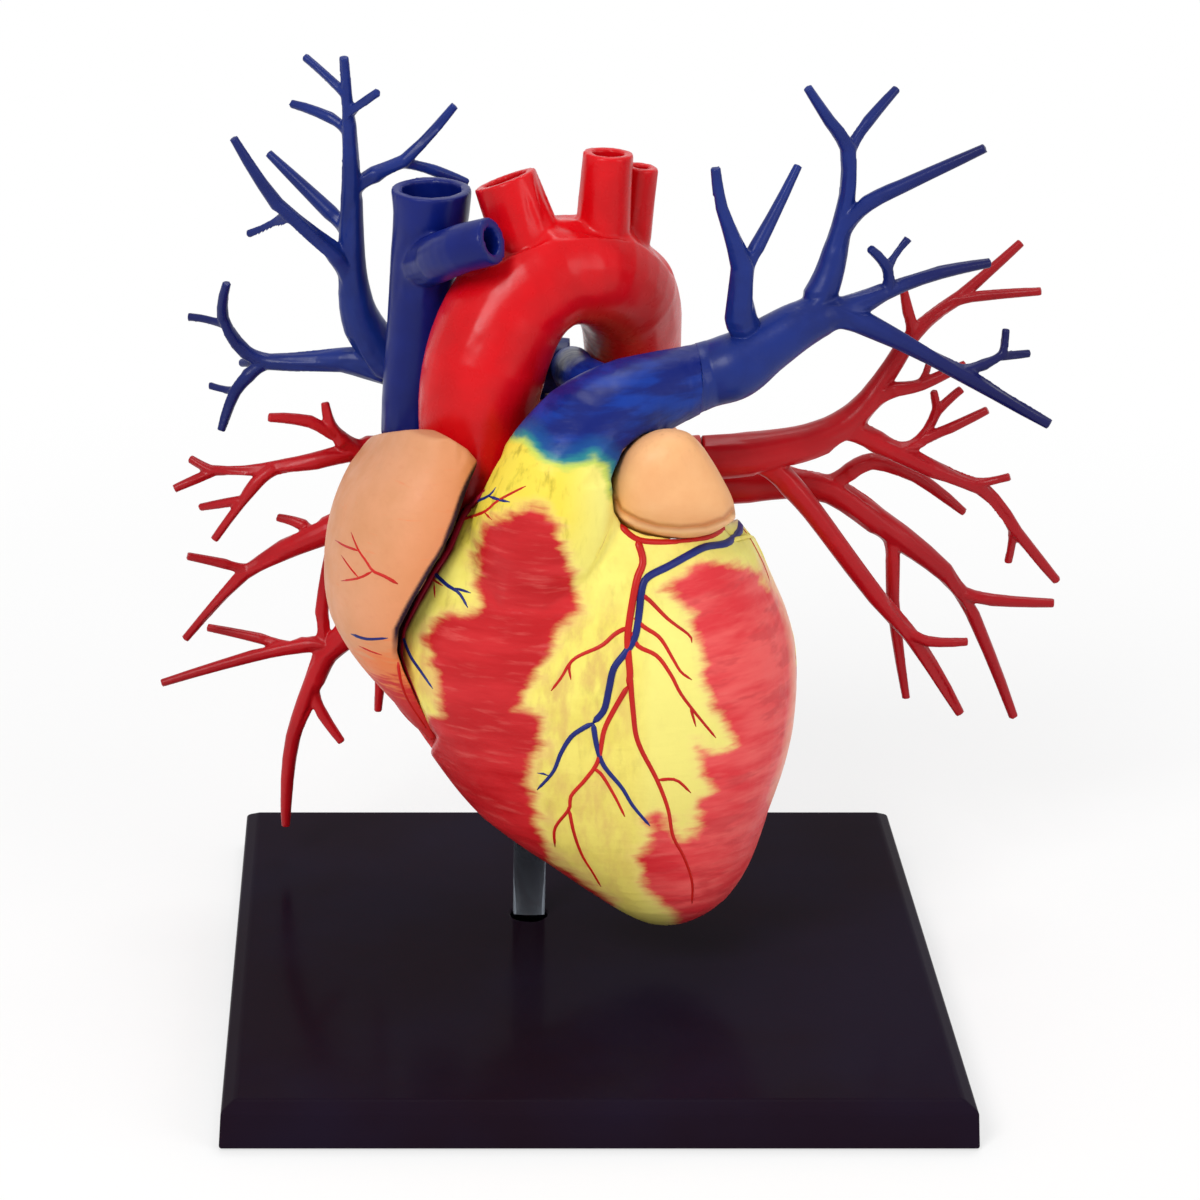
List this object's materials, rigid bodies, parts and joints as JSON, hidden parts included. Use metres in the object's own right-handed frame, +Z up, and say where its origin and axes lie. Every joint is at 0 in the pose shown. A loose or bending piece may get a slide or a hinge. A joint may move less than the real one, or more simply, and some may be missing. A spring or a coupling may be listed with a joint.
{
  "type": "human heart anatomy model on stand",
  "caption": "Small take-apart human heart model on a square base and clear post, with great vessels, branching lung vessels and painted coronary vessels.",
  "frame": {"origin": "centre of the base's underside", "axes": "+Z up along the post, +X to the viewer's right, -Y to the front, towards the viewer"},
  "size_m": [0.1252, 0.096, 0.1262],
  "materials": {
    "base_black": "polished black with a faint violet cast",
    "clear_post": "clear polished acrylic",
    "painted_wall": "painted yellow, blue and red with painted coronary vessels, satin",
    "heart_muscle": "painted red muscle, satin",
    "valve_cream": "cream, satin",
    "atrium_peach": "peach with fine painted vessels, satin",
    "artery_red": "painted red, satin",
    "vein_red": "moulded red, satin",
    "vessel_blue": "moulded blue with darker tips, satin"
  },
  "bodies": {
    "base": {"base_plate": "base_black"},
    "post": {"post": "clear_post"},
    "heart": {"ventricle_back_wall": "heart_muscle", "ventricular_septum": "heart_muscle", "valve_plate": "valve_cream", "mitral_valve": "valve_cream", "tricuspid_valve": "valve_cream", "aortic_valve": "valve_cream", "left_atrium": "atrium_peach", "inferior_vena_cava": "vessel_blue"},
    "front_wall": {"ventricle_front_wall": "painted_wall", "pulmonary_valve": "valve_cream"},
    "left_artery": {"left_pulmonary_artery": "vessel_blue"},
    "right_artery": {"right_pulmonary_artery": "vessel_blue"},
    "right_atrium": {"right_atrium": "atrium_peach"},
    "left_auricle": {"left_auricle": "atrium_peach"},
    "aorta": {"aorta": "artery_red"},
    "superior_vena_cava": {"superior_vena_cava": "vessel_blue"},
    "left_superior_vein": {"left_superior_pulmonary_vein": "vein_red"},
    "left_inferior_vein": {"left_inferior_pulmonary_vein": "vein_red"},
    "right_superior_vein": {"right_superior_pulmonary_vein": "vein_red"},
    "right_middle_vein": {"right_middle_pulmonary_vein": "vein_red"},
    "right_inferior_vein": {"right_inferior_pulmonary_vein": "vein_red"}
  },
  "joints": [
    {"name": "stand_swivel", "type": "hinge", "parent": "base", "child": "post", "pos_m": [-0.007, 0.0099, 0], "axis": [0, 0, 1], "continuous": true},
    {"name": "heart_lift", "type": "slide", "parent": "post", "child": "heart", "axis": [0, 0, 1], "range_m": [0, 0.025]},
    {"name": "front_wall_pull", "type": "slide", "parent": "heart", "child": "front_wall", "axis": [0, -0.9397, 0.342], "range_m": [0, 0.04]},
    {"name": "left_artery_pull", "type": "slide", "parent": "front_wall", "child": "left_artery", "axis": [1, 0, 0], "range_m": [0, 0.03]},
    {"name": "right_atrium_pull", "type": "slide", "parent": "heart", "child": "right_atrium", "axis": [0, -0.9397, 0.342], "range_m": [0, 0.04]},
    {"name": "auricle_pull", "type": "slide", "parent": "heart", "child": "left_auricle", "axis": [0, -0.9397, 0.342], "range_m": [0, 0.04]},
    {"name": "aorta_lift", "type": "slide", "parent": "heart", "child": "aorta", "axis": [0, 0, 1], "range_m": [0, 0.04]},
    {"name": "cava_lift", "type": "slide", "parent": "aorta", "child": "superior_vena_cava", "axis": [0, 0, 1], "range_m": [0, 0.03]},
    {"name": "right_artery_pull", "type": "slide", "parent": "heart", "child": "right_artery", "axis": [-1, 0, 0], "range_m": [0, 0.04]},
    {"name": "left_superior_vein_pull", "type": "slide", "parent": "heart", "child": "left_superior_vein", "axis": [1, 0, 0], "range_m": [0, 0.012]},
    {"name": "left_inferior_vein_pull", "type": "slide", "parent": "heart", "child": "left_inferior_vein", "axis": [1, 0, 0], "range_m": [0, 0.012]},
    {"name": "right_superior_vein_pull", "type": "slide", "parent": "heart", "child": "right_superior_vein", "axis": [-1, 0, 0], "range_m": [0, 0.012]},
    {"name": "right_middle_vein_pull", "type": "slide", "parent": "heart", "child": "right_middle_vein", "axis": [-1, 0, 0], "range_m": [0, 0.012]},
    {"name": "right_inferior_vein_pull", "type": "slide", "parent": "heart", "child": "right_inferior_vein", "axis": [-1, 0, 0], "range_m": [0, 0.012]}
  ]
}
